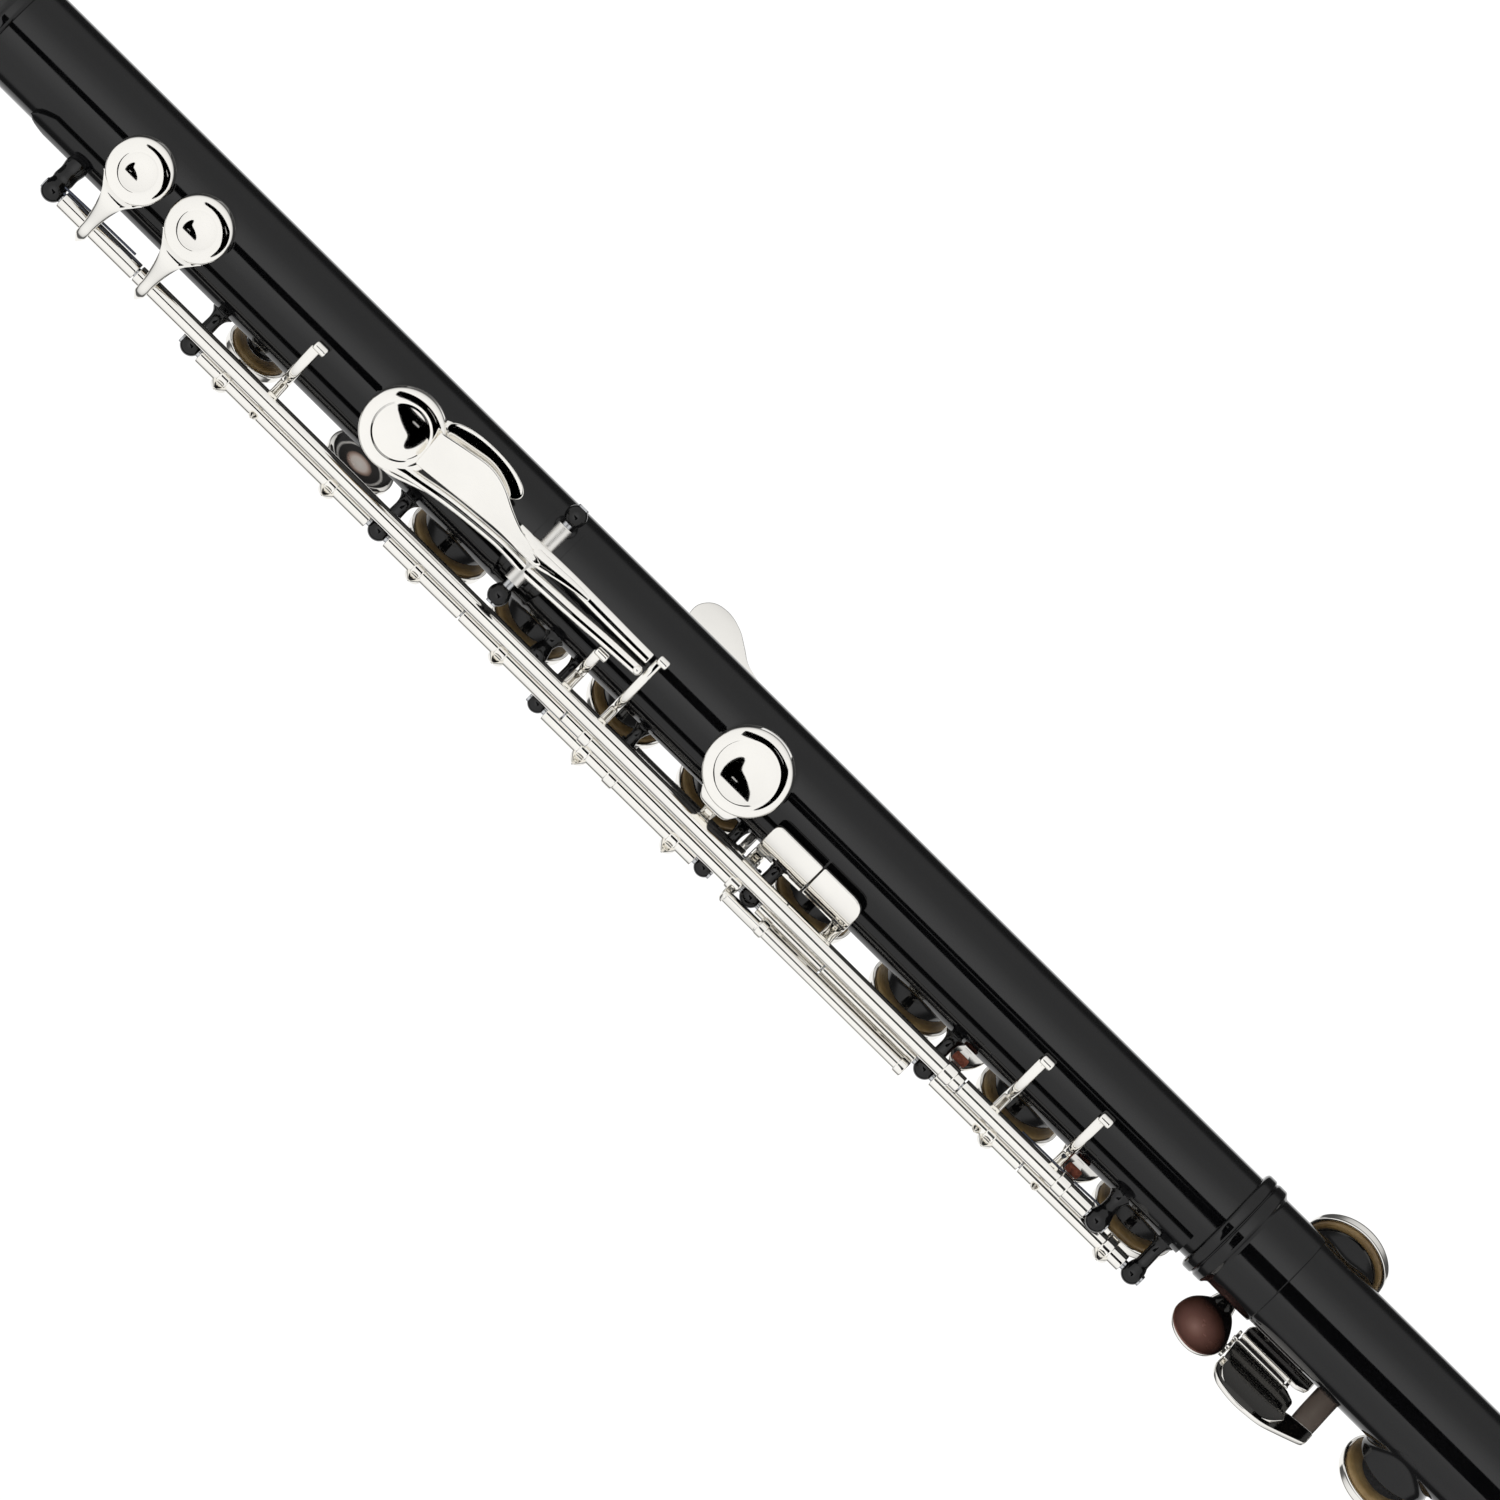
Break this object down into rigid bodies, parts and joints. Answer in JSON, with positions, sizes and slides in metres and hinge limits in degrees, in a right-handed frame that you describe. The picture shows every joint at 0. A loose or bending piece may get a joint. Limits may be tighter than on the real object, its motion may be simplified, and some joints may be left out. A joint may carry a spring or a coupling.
{
  "type": "concert flute",
  "caption": "Closed-hole transverse flute with offset G keys and a C foot joint: black lacquered tube, silver-coloured keywork, turning crown and tuning slide.",
  "frame": {"origin": "centre of the crown's flat end face, on the bore axis", "axes": "+X along the bore from the crown to the foot end, +Z the way the main-line key cups face, +Y the side of the hinge rods"},
  "size_m": [0.6656, 0.0427, 0.0363],
  "materials": {
    "black_lacquer": "high gloss black lacquer over a metal tube",
    "silver_plate": "polished silver-coloured plating",
    "rod_steel": "ground steel rod",
    "pad_skin": "tan skin pad over felt",
    "cork": null
  },
  "bodies": {
    "body": {"body_tube": "black_lacquer", "barrel": "black_lacquer", "main_rib": "black_lacquer", "thumb_saddle": "black_lacquer", "thumb_axle": "rod_steel", "c_sharp_rod": "rod_steel", "g_rod": "rod_steel", "g_sharp_rod": "rod_steel"},
    "head": {"head_tube": "black_lacquer", "lip_plate": "silver_plate", "riser": "silver_plate"},
    "crown": {"crown": "black_lacquer"},
    "stopper": {"stopper_screw": "rod_steel", "stopper_cork": "cork", "stopper_plate": "rod_steel"},
    "foot": {"foot_tube": "black_lacquer", "foot_rib": "black_lacquer"},
    "c_sharp": {"c_sharp_key": "silver_plate", "c_sharp_pad": "pad_skin"},
    "trill_d": {"trill_d_key": "silver_plate", "trill_d_pad": "pad_skin"},
    "trill_dsharp": {"trill_dsharp_key": "silver_plate", "trill_dsharp_touch": "silver_plate", "trill_rod": "rod_steel", "trill_dsharp_pad": "pad_skin"},
    "thumb_b": {"thumb_b_key": "silver_plate", "thumb_b_pad": "pad_skin"},
    "thumb_lever": {"thumb_b_flat_lever": "silver_plate"},
    "b_flat": {"b_flat_key": "silver_plate", "b_flat_bridge": "silver_plate", "upper_rod": "rod_steel", "b_flat_pad": "pad_skin"},
    "a": {"a_key": "silver_plate", "a_pad": "pad_skin"},
    "g": {"g_key": "silver_plate", "g_upper_pad": "pad_skin", "g_lower_pad": "pad_skin"},
    "g_sharp": {"g_sharp_key": "silver_plate", "g_sharp_pad": "pad_skin"},
    "f_sharp": {"f_sharp_key": "silver_plate", "lower_rod": "rod_steel", "f_sharp_pad": "pad_skin"},
    "f": {"f_key": "silver_plate", "f_pad": "pad_skin"},
    "e": {"e_key": "silver_plate", "e_pad": "pad_skin"},
    "d": {"d_key": "silver_plate", "d_pad": "pad_skin"},
    "foot_dsharp": {"foot_dsharp_key": "silver_plate", "foot_dsharp_pad": "pad_skin"},
    "foot_csharp": {"foot_csharp_key": "silver_plate", "foot_csharp_pad": "pad_skin"},
    "foot_c": {"foot_c_key": "silver_plate", "foot_c_touch": "silver_plate", "foot_rod": "rod_steel", "foot_c_pad": "pad_skin"},
    "c_roller": {"c_roller": "silver_plate"},
    "c_sharp_roller": {"c_sharp_roller": "silver_plate"}
  },
  "joints": [
    {"name": "head_slide", "type": "slide", "parent": "body", "child": "head", "axis": [-1, 0, 0], "range_m": [0, 0.012]},
    {"name": "crown_turn", "type": "hinge", "parent": "head", "child": "crown", "pos_m": [0.004, 0, 0], "axis": [1, 0, 0], "range_deg": [-720, 720]},
    {"name": "stopper_travel", "type": "slide", "parent": "head", "child": "stopper", "axis": [1, 0, 0], "range_m": [-0.0016, 0.0016]},
    {"name": "foot_turn", "type": "hinge", "parent": "body", "child": "foot", "pos_m": [0.549, 0, 0], "axis": [1, 0, 0], "range_deg": [-25, 25]},
    {"name": "c_sharp_press", "type": "hinge", "parent": "body", "child": "c_sharp", "pos_m": [0.327, 0.013, 0.0131], "axis": [1, 0, 0], "range_deg": [0, 9.5], "stiffness_Nm_per_rad": 0.0095, "springref_deg": -28.65},
    {"name": "b_flat_press", "type": "hinge", "parent": "body", "child": "b_flat", "pos_m": [0.362, 0.013, 0.0131], "axis": [1, 0, 0], "range_deg": [0, 9.5], "stiffness_Nm_per_rad": 0.0095, "springref_deg": -28.65},
    {"name": "a_press", "type": "hinge", "parent": "body", "child": "a", "pos_m": [0.384, 0.013, 0.0131], "axis": [1, 0, 0], "range_deg": [0, 9.5], "stiffness_Nm_per_rad": 0.0095, "springref_deg": -28.65},
    {"name": "g_press", "type": "hinge", "parent": "body", "child": "g", "pos_m": [0.413, 0.0123, 0.0168], "axis": [1, 0, 0], "range_deg": [0, 9.5], "stiffness_Nm_per_rad": 0.014, "springref_deg": -28.65},
    {"name": "f_sharp_press", "type": "hinge", "parent": "body", "child": "f_sharp", "pos_m": [0.453, 0.013, 0.0131], "axis": [1, 0, 0], "range_deg": [0, 9.5], "stiffness_Nm_per_rad": 0.0095, "springref_deg": -28.65},
    {"name": "f_press", "type": "hinge", "parent": "body", "child": "f", "pos_m": [0.473, 0.013, 0.0131], "axis": [1, 0, 0], "range_deg": [0, 9.5], "stiffness_Nm_per_rad": 0.0095, "springref_deg": -28.65},
    {"name": "e_press", "type": "hinge", "parent": "body", "child": "e", "pos_m": [0.5, 0.013, 0.0131], "axis": [1, 0, 0], "range_deg": [0, 9.5], "stiffness_Nm_per_rad": 0.0095, "springref_deg": -28.65},
    {"name": "d_press", "type": "hinge", "parent": "body", "child": "d", "pos_m": [0.524, 0.013, 0.0131], "axis": [1, 0, 0], "range_deg": [0, 9.5], "stiffness_Nm_per_rad": 0.0095, "springref_deg": -28.65},
    {"name": "g_sharp_press", "type": "hinge", "parent": "body", "child": "g_sharp", "pos_m": [0.424, 0.0108, 0.0104], "axis": [1, 0, 0], "range_deg": [0, 10], "stiffness_Nm_per_rad": 0.014, "springref_deg": -28.65},
    {"name": "trill_d_press", "type": "hinge", "parent": "body", "child": "trill_d", "pos_m": [0.39, 0.0146, 0.0082], "axis": [1, 0, 0], "range_deg": [0, 10], "stiffness_Nm_per_rad": 0.012, "springref_deg": -28.65},
    {"name": "trill_dsharp_press", "type": "hinge", "parent": "body", "child": "trill_dsharp", "pos_m": [0.39, 0.0146, 0.0082], "axis": [1, 0, 0], "range_deg": [0, 10], "stiffness_Nm_per_rad": 0.012, "springref_deg": -28.65},
    {"name": "thumb_b_press", "type": "hinge", "parent": "body", "child": "thumb_b", "pos_m": [0.3739, 0.01255, -0.00513], "axis": [0, 0.7071, 0.7071], "range_deg": [0, 3.9], "stiffness_Nm_per_rad": 0.0095, "springref_deg": -28.65},
    {"name": "thumb_b_flat_press", "type": "hinge", "parent": "body", "child": "thumb_lever", "pos_m": [0.3739, 0.00788, -0.00979], "axis": [0, 0.7071, 0.7071], "range_deg": [0, 3.2], "stiffness_Nm_per_rad": 0.006, "springref_deg": -28.65},
    {"name": "foot_dsharp_press", "type": "hinge", "parent": "foot", "child": "foot_dsharp", "pos_m": [0.562, -0.0105, 0.0123], "axis": [-1, 0, 0], "range_deg": [0, 10], "stiffness_Nm_per_rad": 0.014, "springref_deg": -28.65},
    {"name": "foot_csharp_press", "type": "hinge", "parent": "foot", "child": "foot_csharp", "pos_m": [0.59, -0.0105, 0.0123], "axis": [-1, 0, 0], "range_deg": [0, 9.5], "stiffness_Nm_per_rad": 0.012, "springref_deg": -28.65},
    {"name": "foot_c_press", "type": "hinge", "parent": "foot", "child": "foot_c", "pos_m": [0.608, -0.0105, 0.0123], "axis": [-1, 0, 0], "range_deg": [0, 9.5], "stiffness_Nm_per_rad": 0.012, "springref_deg": -28.65},
    {"name": "c_roller_spin", "type": "hinge", "parent": "foot_c", "child": "c_roller", "pos_m": [0.5665, 0.003, 0.0166], "axis": [1, 0, 0], "continuous": true},
    {"name": "c_sharp_roller_spin", "type": "hinge", "parent": "foot_csharp", "child": "c_sharp_roller", "pos_m": [0.5665, 0.0057, 0.0169], "axis": [1, 0, 0], "continuous": true}
  ],
  "couplings": [
    {"joint": "stopper_travel", "follows": "crown_turn", "m_per_rad": -0.00011937},
    {"joint": "b_flat_press", "follows": "a_press", "ratio": 1},
    {"joint": "f_sharp_press", "follows": "f_press", "ratio": 1}
  ]
}
